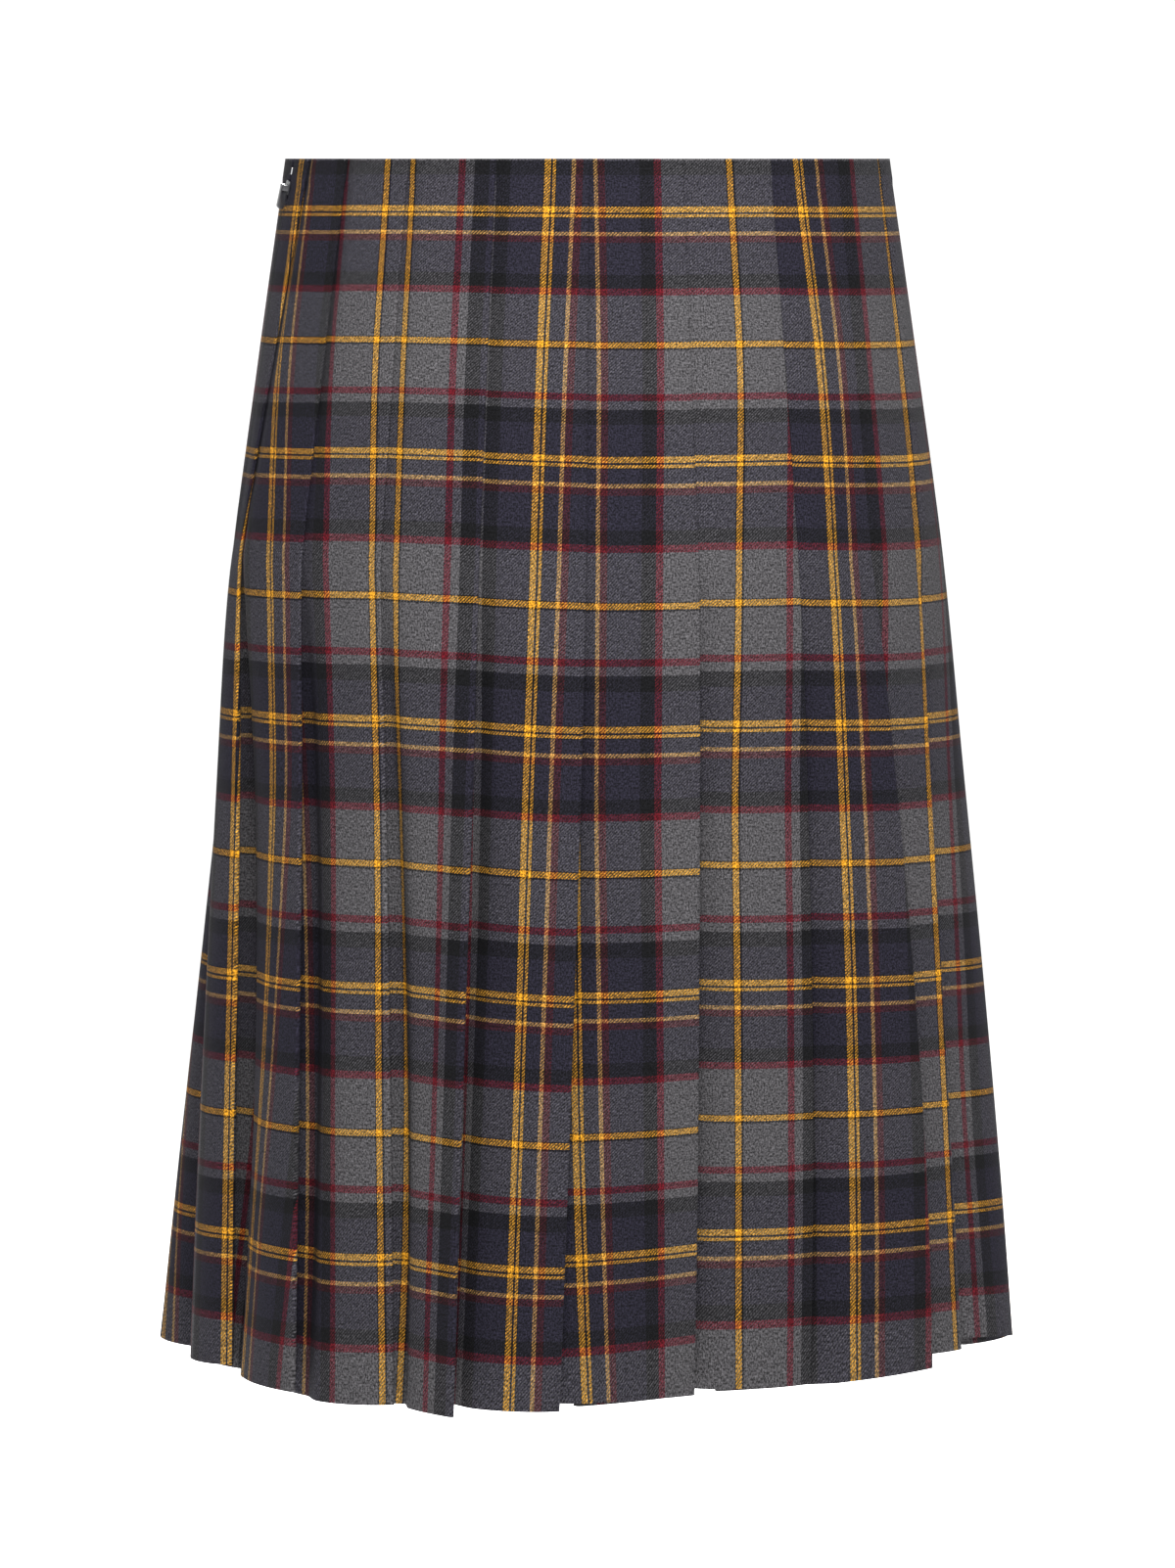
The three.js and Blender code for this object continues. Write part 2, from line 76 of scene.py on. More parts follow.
# One row for each pleat, from the middle of the back by way of the zip side and the front.
# lean, hip_lean: how far the front fold is moved to the right at the waist and at the hip.
# bow, swell: how far it bows to the right, and outwards, half way from the hip to the hem.
# across, ahead: where the front fold ends at the hem, from the skirt's middle.
# open: how far the next pleat's face lies in behind this fold at the hem.
# belly: how far the middle of the pleat's face stands out at the hem.
# drop_start, drop_end: how far the hem hangs below LENGTH where the face begins and at its fold.
PLEAT_COLUMNS = (
    "lean", "hip_lean", "bow", "swell", "across", "ahead", "open", "belly", "drop_start", "drop_end"
)
PLEAT_ROWS = (
    (0, 0, 0, 0, -2, -150, 12, 3, 0, 2),
    (0, 0, 0, 0, -64, -142, 9, 5, 1, 0),
    (0, 0, 0, 0, -124, -112, 15, 2, 0, 3),
    (0, 0, 0, 3, -199, -58, 8, 4, 1, 1),
    (0, 0, 0, 4, -189.5, 8, 10, 19, 2, 2),
    (22, 1, 7, 0, -172.5, 68, 4, 13, 2, -1),
    (8, 6.5, 3, 0, -140, 129, 9, 2, 1.5, 0),
    (0, 2, 2, 0, -92, 152, 4, 5, 4, 1.5),
    (0, 0, 0, 0, -64, 178, 23, 0, 2, 2),
    (0, -1, 0, 0, -14, 170, 13, 5, 1, 1),
    (0, 0, 0, 0, 50, 122, 13, 2, 0, 3),
    (0, -1.5, 1.5, 0, 106, 93, 3, 4, 2.5, 3),
    (-5, -9, 4, 0, 166, 66, 16, 2, 5, 1),
    (-12, -22, -3, 0, 182, 34, 14, 1, -3, -2),
    (-8, -18, 0, 0, 210, -8, 12, 2, -6, -1),
    (-4, -9, 0, 0, 172, -80, 9, 6, 0, 2),
    (0, -3, 0, 0, 124, -119, 14, 3, 1, 0),
    (0, 0, 0, 0, 62, -147, 7, 4, 0, 2),
)
PLEATS = [dict(zip(PLEAT_COLUMNS, row)) for row in PLEAT_ROWS]

# Where the check lies on each pleat's front fold, in the same order: how far into its repeat, at
# the waist, in the stitched part, where the stitching ends, at two heights below and at the hem.
PLACE_COLUMNS = ("waist", "stitched", "hip", "upper", "lower", "hem")
PLACE_DOWNS = (0, 100, 190, 300, 440, 580)
PLACE_ROWS = (
    (9, 11, 13.4, 13.5, 14, 14.5),
    (45, 47, 49.5, 49.5, 50, 51),
    (81, 83, 85.6, 86, 86, 86.5),
    (117, 119, 121.7, 122, 122, 122.5),
    (29, 31, 33.3, 33.3, 33.3, 33.3),
    (8, -4.2, 0, 3.5, 5, 5),
    (38.5, 37.7, 24, 22, 33, 53),
    (78.7, 78, 72.3, 72, 73.4, 73.2),
    (110, 110.8, 109.5, 110.6, 110.6, 111),
    (19.6, 23.6, 25.8, 26.6, 26.4, 25.6),
    (54, 56.5, 61, 62.2, 61.6, 61),
    (90, 91.6, 99.5, 105, 106, 106.5),
    (26.5, 23.2, 26, 31.7, 39.5, 44.8),
    (68, 69, 69.5, 70, 71, 73.5),
    (114, 117, 121.5, 123, 124.5, 125),
    (26, 28, 29.6, 30, 30, 30),
    (62, 64, 65.7, 66, 66, 67),
    (98, 100, 101.8, 102, 102, 102),
)
CHECK_PLACES = [dict(zip(PLACE_COLUMNS, row)) for row in PLACE_ROWS]

PULL_COLUMNS = (
    "hip_start", "hip_end", "middle_start", "middle_end", "low_start", "low_end",
    "hem_start", "hem_end",
)
PULL_HEIGHTS = ("hip", "middle", "low", "hem")
PULL_DOWNS = (0, 140, 390, 516, 580)
PULL_ROWS = (
    (0, 0, 0, 1, 0, 1, 0, 0),
    (0, 0, 1, 0, 0, 0, 0, 0),
    (0, 0, 0, 0, 1, 0, 0, 0),
    (0, 0, 0, 1, 1, 2, 0, 1),
    (0, 0, 1, 0, 2, 1, 1, 0),
    (0, 0, 0, 1, 0, 0, 0, -1),
    (1, 2, 2.5, 2.8, 0, 0, -1.5, -1.5),
    (3, 4, 3.6, 4.8, 1.5, 3, 0, 1),
    (4, 3.2, 3.8, 3.4, 2.5, 1.8, 1, 0.5),
    (2.2, 0.5, 2.4, 1, 0, -0.5, -1, -1),
    (0, 0, 0.3, 1.6, 2, 5.8, -3, 0),
    (0.5, 0.5, 4, 3.2, 10, 10, 2, 2),
    (-0.3, -2, 3.2, 0.5, 10, 7.5, 2, -0.5),
    (-2, -3, -1.3, -1, 4.2, 4.3, -4, -5),
    (-3, -3, 0, -1, 2, 3.6, -3, -2.5),
    (-1, 0, 0, 0, 3, 2, 0, 0),
    (0, 0, 1, 0, 1, 0, 0, 0),
    (0, 0, 0, 1, 0, 1, 0, 0),
)
CHECK_PULLS = [dict(zip(PULL_COLUMNS, row)) for row in PULL_ROWS]

# How far up and down the corners of both tables are eased.
EASE_REACH = 24
EASE_STEPS = 5

# How far down the cloth's own check runs at each height of the front, as the waist is eased in.
CLOTH_DOWN_COLUMNS = ("down", "along")
CLOTH_DOWN_ROWS = (
    (0, -24.4),
    (24.6, 2.4),
    (85.8, 68),
    (140.9, 126.9),
    (267.3, 251.4),
    (391.8, 375.9),
    (515.5, 500.4),
    (555.1, 540.2),
    (580, 561.8),
    (600, 580),
)
CLOTH_DOWN = [dict(zip(CLOTH_DOWN_COLUMNS, row)) for row in CLOTH_DOWN_ROWS]

# The seams: the pleat that the zip opens in, and the pleat behind whose fold the far seam lies.
ZIP_PLEAT = 5
FAR_PLEAT = 14

# How the sway and the bellies grow down to the hem, and how far every fold gapes half way down.
SWAY_POWER = 1.1
BELLY_POWER = 0.7
GAPE = 8
DROP_POWER = 3

# How much of a face has layers behind it, everywhere and at the zip.
COVERED = 0.74
COVERED_AT_ZIP = 0.08
# The share of a face in which it rises to the front from the fold before.
RISE_SHARE = 0.24
# How much of a fold's opening lies behind its face at the inner turn: in front of the layer back,
# and in front of the layer under that.
OPEN_BEHIND_BACK = 0.1
OPEN_BEHIND_UNDER = 0.35

# Where in its face the side opening lies, and the mouth above the zip.
OPENING_AT_WAIST = 0.776
OPENING_BELOW = 0.52
MOUTH_WIDTH = 3
MOUTH_DOWN = 34

# Shares of a face, across which its width and its direction are read.
EDGE_STEP = 0.2
NORMAL_STEP = 0.01
RING_STEPS = 720

# How finely the cloth is made, with more columns and rows close to the folds and edges.
ROW_COUNT = 100
EDGE_ROWS = (1.2, 9.5, 13, LENGTH - 1.2)
FACE_COLUMNS = 19
FOLD_COLUMNS = (0.028, 0.97)
LAYER_COLUMNS = 8
TURN_ANGLES = (30, 60, 90, 120, 150)
LONGEST_MITRE = 1.5
SHARP_FOLD = 60

# Where the check lies on the hidden cloth, as shares of it from a fold to the layer under it.
CHECK_IN_FOLD = (0.004, 0.02)
CHECK_IN_BACK = (0.024, 0.97)
CHECK_IN_TURN = (0.94, 1)

# One repeat of the check, as stripes in order: to the right across the cloth and down along it.
REPEAT = 124.5
STRIPES = (
    ("yellow", 6),
    ("black", 2),
    ("yellow", 3),
    ("black", 1.5),
    ("navy", 15),
    ("straw", 3.5),
    ("burgundy", 8),
    ("navy", 34.5),
    ("black", 15),
    ("red", 8),
    ("grey", 49.5),
    ("black", 1.5),
    ("yellow", 6),
    ("black", 2),
    ("grey", 48),
    ("red", 7),
    ("grey", 10),
    ("black", 16),
    ("navy", 34),
    ("black", 1.5),
)

# Yarn colours, as red, green and blue from 0 to 1 in linear light.
YARNS = {
    "yellow": (0.2, 0.088, 0.005),
    "straw": (0.13, 0.066, 0.016),
    "red": (0.03, 0.0014, 0.003),
    "burgundy": (0.014, 0.0014, 0.0023),
    "navy": (0.0045, 0.0041, 0.007),
    "black": (0.0014, 0.0014, 0.0017),
    "grey": (0.023, 0.022, 0.0234),
}
# How far the colours of crossing yarns run together to the eye.
BLEND = 0.5
YARN_PITCH = 0.4

# Uneven wool: the part of the noise that is used, and the brightnesses that it is spread to.
WORSTED_ENDS = (0.35, 0.65)
WORSTED_VALUES = (0.55, 1.5)
MELANGE_ENDS = (0.36, 0.64)
MELANGE_VALUES = (0.3, 1.8)
# Flecks in each yarn's width and along it, and flecks of fibre in one repeat of the check.
WORSTED_ACROSS = 0.9
WORSTED_ALONG = 0.12
FLECKS = 170
FLECKS_ALONG = FLECKS * 0.7


def mix(start, end, share):
    return start + (end - start) * share


def smooth(value):
    share = np.clip(value, 0, 1)
    return share * share * (3 - 2 * share)


def read_sections(down, column):
    """A smooth curve through one column of SECTIONS."""
    last = len(SECTIONS) - 1
    row = 0
    while row < last - 1 and SECTIONS[row + 1]["down"] < down:
        row += 1
    before, start, end, after = (
        SECTIONS[min(last, max(0, index))] for index in (row - 1, row, row + 1, row + 2)
    )
    span = end["down"] - start["down"]
    share = (down - start["down"]) / span
    slope_start = (end[column] - before[column]) / (end["down"] - before["down"]) * span
    slope_end = (after[column] - start[column]) / (after["down"] - start["down"]) * span
    square = share * share
    cube = square * share
    return (
        start[column] * (2 * cube - 3 * square + 1)
        + slope_start * (cube - 2 * square + share)
        + end[column] * (3 * square - 2 * cube)
        + slope_end * (cube - square)
    )


def read_eased(downs, values, down):
    """A column of values given at certain heights, read between them with its corners eased."""
    reach = np.linspace(-EASE_REACH, EASE_REACH, EASE_STEPS)
    return np.interp(down + reach, downs, values).mean()


class Ring:
    """An ellipse, walked by shares of its length from the middle of the front to the right."""

    def __init__(self, down):
        self.half_width = read_sections(down, "half_width")
        self.half_depth = read_sections(down, "half_depth")
        self.angles = np.linspace(0, 2 * math.pi, RING_STEPS + 1)
        steps = np.linalg.norm(np.diff(self.at(self.angles), axis=0), axis=1)
        self.walked = np.concatenate([[0], np.cumsum(steps)])

    def at(self, angle):
        across = self.half_width * np.sin(angle)
        ahead = self.half_depth * np.cos(angle)
        return np.stack([across, -ahead], axis=-1)

    def point(self, share):
        target = np.mod(share, 1) * self.walked[-1]
        return self.at(np.interp(target, self.walked, self.angles))


HEM_RING = Ring(LENGTH)


def stitched_share(down):
    """From 0 at the waist edge to 1 where the stitching ends, and 1 from there to the hem."""
    return min(1, down / STITCHED_DOWN)


def below_stitching(down):
    """From 0 where the stitching ends to 1 at the hem, and 0 above the stitching's end."""
    return max(0, (down - STITCHED_DOWN) / (LENGTH - STITCHED_DOWN))


def half_way_down(down):
    """From 0 where the stitching ends to 1 half way to the hem, and back to 0 at the hem."""
    below = below_stitching(down)
    return 4 * below * (1 - below)


def fold_share(pleat, down):
    row = PLEATS[pleat % PLEAT_COUNT]
    leaning = mix(row["lean"], row["hip_lean"], stitched_share(down))
    moved = leaning + row["bow"] * half_way_down(down)
    return (pleat - PLEAT_COUNT / 2) / PLEAT_COUNT + moved / WAIST_ROUND


def hem_shift(pleat):
    """How far a pleat's front fold has moved off the plain ring at the hem."""
    row = PLEATS[pleat % PLEAT_COUNT]
    return np.array([row["across"], -row["ahead"]]) - HEM_RING.point(fold_share(pleat, LENGTH))


def sway_at(down):
    return below_stitching(down) ** SWAY_POWER


def open_at(pleat, down):
    """How far the next pleat's face lies in behind a fold, more than its layers take up."""
    return PLEATS[pleat % PLEAT_COUNT]["open"] * sway_at(down) + GAPE * half_way_down(down)


def outward(start, end):
    """The direction to the right of the way from start to end, which is out of the skirt."""
    step = end - start
    out = np.stack([step[..., 1], -step[..., 0]], axis=-1)
    return out / np.linalg.norm(out, axis=-1, keepdims=True)


# Soft troughs and ridges in the cloth, listed one by one.
# pleat, part, down: the middle of the crease, part going from 0 to 1 across the pleat's face.
# slope: how far it runs across for each millimetre down. height: outwards, or inwards if negative.
CREASE_COLUMNS = ("pleat", "part", "down", "slope", "long", "wide", "height")
CREASE_ROWS = (
    (5, 0.75, 150, 0.1, 60, 9, -1.0),
    (6, 0.4, 260, 0.1, 90, 12, 1.2),
    (6, 0.6, 470, -0.05, 80, 13, 1.6),
    (7, 0.5, 240, 0.05, 80, 10, -0.9),
    (7, 0.45, 450, 0.02, 90, 12, 1.4),
    (8, 0.6, 330, -0.05, 110, 9, -1.3),
    (8, 0.35, 500, 0.04, 60, 11, 1.5),
    (9, 0.35, 420, 0.06, 90, 10, -1.2),
    (9, 0.7, 240, -0.04, 70, 12, 0.9),
    (10, 0.3, 60, 0.05, 60, 9, -0.9),
    (10, 0.55, 380, 0.1, 110, 14, 1.5),
    (11, 0.5, 300, 0.02, 100, 15, 1.0),
    (11, 0.4, 520, 0.0, 50, 13, -1.3),
    (12, 0.45, 430, 0.05, 90, 12, 1.5),
    (12, 0.7, 230, -0.05, 60, 9, -0.9),
    (13, 0.5, 360, 0.05, 80, 11, 1.2),
    (14, 0.55, 480, 0.04, 70, 13, -1.6),
    (15, 0.4, 330, 0.05, 90, 12, 1.3),
    (16, 0.6, 440, -0.04, 80, 12, -1.4),
    (17, 0.45, 280, 0.05, 90, 13, 1.1),
    (0, 0.5, 410, -0.05, 100, 12, 1.4),
    (0, 0.4, 90, 0.04, 60, 9, -0.7),
    (1, 0.6, 500, 0.05, 60, 11, -1.4),
    (2, 0.4, 300, 0.06, 90, 12, 1.2),
    (3, 0.55, 420, -0.05, 90, 13, 1.5),
    (4, 0.5, 340, 0.04, 80, 12, -1.0),
)
CREASES = [dict(zip(CREASE_COLUMNS, row)) for row in CREASE_ROWS]
# About how wide a pleat's face is.
FACE_ABOUT = 54


def crease_height(pleat, part, down):
    height = np.zeros_like(part)
    for crease in CREASES:
        if crease["pleat"] == pleat % PLEAT_COUNT:
            below = down - crease["down"]
            across = (part - crease["part"]) * FACE_ABOUT - crease["slope"] * below
            fade = math.exp(-((below / crease["long"]) ** 2))
            height += crease["height"] * fade * np.exp(-((across / crease["wide"]) ** 2))
    return height


def layer_step(down):
    opened = smooth(LAYER_STEP_EASE * below_stitching(down))
    return mix(LAYER_STEP_STITCHED, LAYER_STEP_BELOW, opened)


FACE_PARTS = np.sort(np.concatenate([np.linspace(0, 1, FACE_COLUMNS), FOLD_COLUMNS]))


class Face:
    """The face of a pleat at one height, from 0, under the fold before, to 1, at its own fold."""

    def __init__(self, pleat, down, ring):
        self.pleat = pleat
        self.down = down
        self.ring = ring
        self.step = layer_step(down)
        sway = sway_at(down)
        self.start_shift = hem_shift(pleat - 1) * sway
        self.end_shift = hem_shift(pleat) * sway
        self.start_share = fold_share(pleat - 1, down)
        self.end_share = fold_share(pleat, down)
        self.start_swell = PLEATS[(pleat - 1) % PLEAT_COUNT]["swell"] * half_way_down(down)
        self.end_swell = PLEATS[pleat % PLEAT_COUNT]["swell"] * half_way_down(down)
        ends = self.base(np.array([-NORMAL_STEP, 0]))
        self.tuck = -outward(ends[0], ends[1])
        self.open_before = open_at(pleat - 1, down)
        self.open = open_at(pleat, down)
        self.belly = PLEATS[pleat % PLEAT_COUNT]["belly"] * sway**BELLY_POWER
        steps = np.linalg.norm(np.diff(self.point(FACE_PARTS), axis=0), axis=1)
        self.walked = np.concatenate([[0], np.cumsum(steps)])

    def base(self, part):
        place = self.ring.point(mix(self.start_share, self.end_share, part))
        length = np.linalg.norm(place, axis=-1, keepdims=True)
        part = part[..., None]
        swelled = place * (1 + mix(self.start_swell, self.end_swell, part) / length)
        return swelled + mix(self.start_shift, self.end_shift, part)

    def out(self, part):
        return outward(self.base(part - NORMAL_STEP), self.base(part + NORMAL_STEP))

    def point(self, part):
        part = np.asarray(part, dtype=float)
        layers = 2 * self.step * (1 - smooth(part / RISE_SHARE))
        step = layers + self.open_before * (1 - part)
        raised = self.belly * 4 * part * (1 - part) + crease_height(self.pleat, part, self.down)
        return self.base(part) + self.tuck * step[..., None] + self.out(part) * raised[..., None]

    def normal(self, part):
        return outward(self.point(part - NORMAL_STEP), self.point(part + NORMAL_STEP))

    def before_fold(self, part):
        """How much cloth lies between a place in the face and its fold."""
        return self.walked[-1] - np.interp(part, FACE_PARTS, self.walked)

    def check_at_fold(self):
        row = CHECK_PLACES[self.pleat % PLEAT_COUNT]
        places = [row[column] for column in PLACE_COLUMNS]
        turns = TURNS_OF_CHECK[self.pleat % PLEAT_COUNT]
        return read_eased(PLACE_DOWNS, places, self.down) + REPEAT * turns

    def check_pull(self, part):
        row = CHECK_PULLS[self.pleat % PLEAT_COUNT]
        ends = []
        for side in ("_start", "_end"):
            pulls = [0] + [row[height + side] for height in PULL_HEIGHTS]
            ends.append(read_eased(PULL_DOWNS, pulls, self.down))
        return mix(*ends, part)

    def drop(self, part):
        row = PLEATS[self.pleat % PLEAT_COUNT]
        return mix(row["drop_start"], row["drop_end"], part)


# About how far the check runs on from one pleat's fold to the next.
CHECK_ADVANCE = REPEAT + 43


def count_check_turns():
    """The whole repeats of the check before each pleat's fold, so that it runs on unbroken."""
    turns = [0]
    for before, here in zip(CHECK_PLACES, CHECK_PLACES[1:]):
        expected = before["hip"] + REPEAT * turns[-1] + CHECK_ADVANCE
        turns.append(round((expected - here["hip"]) / REPEAT))
    return turns


TURNS_OF_CHECK = count_check_turns()
TURNS_ALL_ROUND = TURNS_OF_CHECK[-1] + 2


def covered_share(pleat, down):
    if pleat % PLEAT_COUNT != ZIP_PLEAT:
        return COVERED
    return mix(COVERED_AT_ZIP, COVERED, smooth(sway_at(down)))


def opening_part(down):
    return mix(OPENING_AT_WAIST, OPENING_BELOW, stitched_share(down))


def opening_half_gap(down, face):
    """Half of the space between the opening's two edges, as a share of its face."""
    width = mix(MOUTH_WIDTH, SEAM_GAP, smooth(down / MOUTH_DOWN))
    middle = opening_part(down)
    ends = face.point(np.array([middle - EDGE_STEP / 2, middle + EDGE_STEP / 2]))
    return width / 2 * EDGE_STEP / np.linalg.norm(ends[1] - ends[0])


def cloth_along(down):
    rows = [(row["down"], row["along"]) for row in CLOTH_DOWN]
    return np.interp(down, *zip(*rows))


class Line:
    """The cloth's middle line at one height: points, with the check's place and the hem's drop."""

    def __init__(self):
        self.points = []
        self.across = []
        self.along = []
        self.drops = []

    def add(self, points, across, along, drops):
        count = len(points)
        self.points.append(points)
        for column, values in ((self.across, across), (self.along, along), (self.drops, drops)):
            column.append(np.broadcast_to(values, count))

    def joined(self):
        return [np.concatenate(part) for part in (self.points, self.across, self.along, self.drops)]


def half_turn(start, end, forward):
    """Points on the half circle from one layer of cloth to the next."""
    middle = (start + end) / 2
    arm = (start - end) / 2
    reach = np.linalg.norm(arm)
    angles = np.radians(TURN_ANGLES)[:, None]
    return middle + arm * np.cos(angles) + forward * reach * np.sin(angles)


def turned_left(out):
    """The way round the skirt that goes with a direction out of it."""
    return np.array([-out[1], out[0]])


def add_face(line, face, first, last):
    parts = mix(first, last, FACE_PARTS)
    along = cloth_along(face.down) + face.check_pull(parts)
    across = face.check_at_fold() - face.before_fold(parts)
    line.add(face.point(parts), across, along, face.drop(parts))


def layers_behind(face, following):
    """The layer back from a face's fold, and the layer under it that runs on to the next face."""
    inner = 1 - covered_share(face.pleat, face.down)
    parts = np.linspace(1, inner, LAYER_COLUMNS)
    behind = (1 - parts) / (1 - inner)
    depth = face.step + OPEN_BEHIND_BACK * face.open * behind
    back = face.point(parts) - face.normal(parts) * depth[:, None]
    parts = parts[::-1]
    behind = behind[::-1]
    depth = 2 * face.step + face.open * mix(1, OPEN_BEHIND_UNDER, behind)
    under = face.point(parts) - face.normal(parts) * depth[:, None]
    to_next = following.point(np.zeros(1))[0] - under[-1]
    under += to_next * ((1 - behind) ** 2)[:, None]
    return inner, back, under, behind


def add_folds(line, face, following, turns, keeps=(True, True)):
    """The layers behind a face: its fold, the layer back, the inner turn and the layer under it.

    turns is how many repeats the check goes on by from the last pleat of the tables to the first.
    keeps says whether the layer back and the layer under it are wanted, each with its half of the
    inner turn.
    """
    inner, back, under, behind = layers_behind(face, following)
    fold_along = turned_left(face.normal(np.ones(1))[0])
    inner_along = turned_left(face.normal(np.array([inner]))[0])
    fold = half_turn(face.point(np.ones(1))[0], back[0], fold_along)
    turn = half_turn(back[-1], under[0], -inner_along)

    walked = np.concatenate([[0], np.cumsum(np.linalg.norm(np.diff(under, axis=0), axis=1))])
    next_start = following.check_at_fold() + REPEAT * turns - following.before_fold(0.0)
    under_across = next_start - walked[-1] + walked
    ends = face.check_at_fold(), under_across[0]
    pulls = face.check_pull(1.0), following.check_pull(0.0)
    drops = face.drop(1.0), following.drop(0.0)
    along = cloth_along(face.down)

    def add(points, across, share):
        """Adds points that lie at a share of the way from the fold to the next face."""
        line.add(points, across, along + mix(*pulls, share), mix(*drops, share))

    if keeps[0]:
        add(fold, mix(*ends, np.linspace(*CHECK_IN_FOLD, len(fold))), 0)
        shares = np.linspace(*CHECK_IN_BACK, len(back))
        add(back, mix(*ends, shares), shares / 2)
    middle = len(turn) // 2
    wanted = slice(0 if keeps[0] else middle, None if keeps[1] else middle + 1)
    turn_across = mix(*ends, np.linspace(*CHECK_IN_TURN, len(turn)))
    add(turn[wanted], turn_across[wanted], 0.5)
    if keeps[1]:
        add(under[:-1], under_across[:-1], 0.5 + (1 - behind[:-1]) / 2)


def front_line(down):
    ring = Ring(down)
    line = Line()
    for pleat in range(ZIP_PLEAT, FAR_PLEAT):
        face = Face(pleat, down, ring)
        following = Face(pleat + 1, down, ring)
        first = opening_part(down) + opening_half_gap(down, face) if pleat == ZIP_PLEAT else 0
        add_face(line, face, first, 1)
        add_folds(line, face, following, 0, keeps=(True, pleat < FAR_PLEAT - 1))
    return line.joined()


def back_line(down):
    ring = Ring(down)
    line = Line()
    before = Face(FAR_PLEAT - 1, down, ring)
    add_folds(line, before, Face(FAR_PLEAT, down, ring), 0, keeps=(False, True))
    for pleat in range(FAR_PLEAT, PLEAT_COUNT + ZIP_PLEAT):
        face = Face(pleat, down, ring)
        add_face(line, face, 0, 1)
        turns = TURNS_ALL_ROUND if pleat == PLEAT_COUNT - 1 else 0
        add_folds(line, face, Face(pleat + 1, down, ring), turns)
    face = Face(ZIP_PLEAT, down, ring)
    add_face(line, face, 0, opening_part(down) - opening_half_gap(down, face))
    return line.joined()


def moved_line(points, distance):
    """Points at a distance to the outside of a line, with its corners mitred."""
    steps = outward(points[:-1], points[1:])
    out_before = np.concatenate([steps[:1], steps])
    out_after = np.concatenate([steps, steps[-1:]])
    out = out_before + out_after
    out /= np.linalg.norm(out, axis=1, keepdims=True)
    turned = np.maximum(1 / LONGEST_MITRE, (out * out_after).sum(axis=1))
    return points + out * (distance / turned)[:, None]


def height_of(down, drops):
    return -down - drops * (down / LENGTH) ** DROP_POWER


def thickness_at(down):
    """The waist edge is turned in and stitched down, so it is thicker than the cloth below."""
    return mix(WAIST_THICK, CLOTH_THICK, smooth((down - WAIST_EDGE_DOWN) / WAIST_EDGE_EASE))


def new_object(name, vertices, faces, material):
    mesh = bpy.data.meshes.new(name)
    mesh.from_pydata(vertices, [], faces)
    mesh.materials.append(material)
    mesh.validate()
    mesh.shade_smooth()
    thing = bpy.data.objects.new(name, mesh)
    bpy.context.collection.objects.link(thing)
    return thing


def wall_faces(rows, columns):
    """The four-sided faces of a closed wall, its outer sheet's points before its inner ones."""
    index = np.arange(rows * columns).reshape(rows, columns)
    inside = index + rows * columns

    def quads(a, b, c, d):
        return np.stack([a, b, c, d], axis=-1).reshape(-1, 4)

    parts = [
        quads(index[:-1, :-1], index[1:, :-1], index[1:, 1:], index[:-1, 1:]),
        quads(inside[:-1, :-1], inside[:-1, 1:], inside[1:, 1:], inside[1:, :-1]),
        quads(index[:-1, 0], inside[:-1, 0], inside[1:, 0], index[1:, 0]),
        quads(index[:-1, -1], index[1:, -1], inside[1:, -1], inside[:-1, -1]),
        quads(index[0, :-1], index[0, 1:], inside[0, 1:], inside[0, :-1]),
        quads(index[-1, :-1], inside[-1, :-1], inside[-1, 1:], index[-1, 1:]),
    ]
    return np.concatenate(parts)


def set_cloth_map(mesh, places):
    """Stores each point's place on the flat cloth, in repeats of the check."""
    layer = mesh.uv_layers.new(name="cloth")
    corners = np.empty(len(mesh.loops), dtype=np.int32)
    mesh.loops.foreach_get("vertex_index", corners)
    layer.data.foreach_set("uv", places[corners].astype(np.float32).ravel())


ROWS = np.sort(np.concatenate([np.linspace(0, LENGTH, ROW_COUNT), EDGE_ROWS]))


def make_panel(name, line_at, material):
    outer, inner, places = [], [], []
    for down in ROWS:
        points, across, along, drops = line_at(down)
        heights = height_of(down, drops)
        half = thickness_at(down) / 2
        for sheet, distance in ((outer, half), (inner, -half)):
            moved = moved_line(points, distance)
            sheet.append(np.column_stack([moved, heights]))
        places.append(np.column_stack([across, along]) / REPEAT)
    vertices = np.concatenate(outer + inner) * MM
    faces = wall_faces(len(ROWS), len(outer[0]))
    panel = new_object(name, vertices.tolist(), faces.tolist(), material)
    set_cloth_map(panel.data, np.concatenate(places + places))
    panel.data.set_sharp_from_angle(angle=math.radians(SHARP_FOLD))
    return panel


class Nodes:
    """A material's nodes, made by kind with their inputs linked or set."""

    def __init__(self, name):
        self.material = bpy.data.materials.new(name)
        self.material.use_nodes = True
        self.tree = self.material.node_tree
        self.tree.nodes.clear()

    def put(self, kind, inputs=(), **settings):
        node = self.tree.nodes.new(kind)
        for key, value in settings.items():
            setattr(node, key, value)
        for key, value in dict(inputs).items():
            if isinstance(value, bpy.types.NodeSocket):
                self.tree.links.new(value, node.inputs[key])
            else:
                node.inputs[key].default_value = value
        return node

    def math(self, operation, first, second=0.0):
        return self.put("ShaderNodeMath", {0: first, 1: second}, operation=operation).outputs[0]

    def mixed(self, kind, factor, first, second):
        node = self.put(
            "ShaderNodeMix", {0: factor, 6: first, 7: second}, data_type="RGBA", blend_type=kind
        )
        return node.outputs[2]

    def finish(self, shader):
        output = self.put("ShaderNodeOutputMaterial")
        self.tree.links.new(shader.outputs[0], output.inputs[0])
        return self.material


def opaque(colour):
    return (*colour, 1.0)


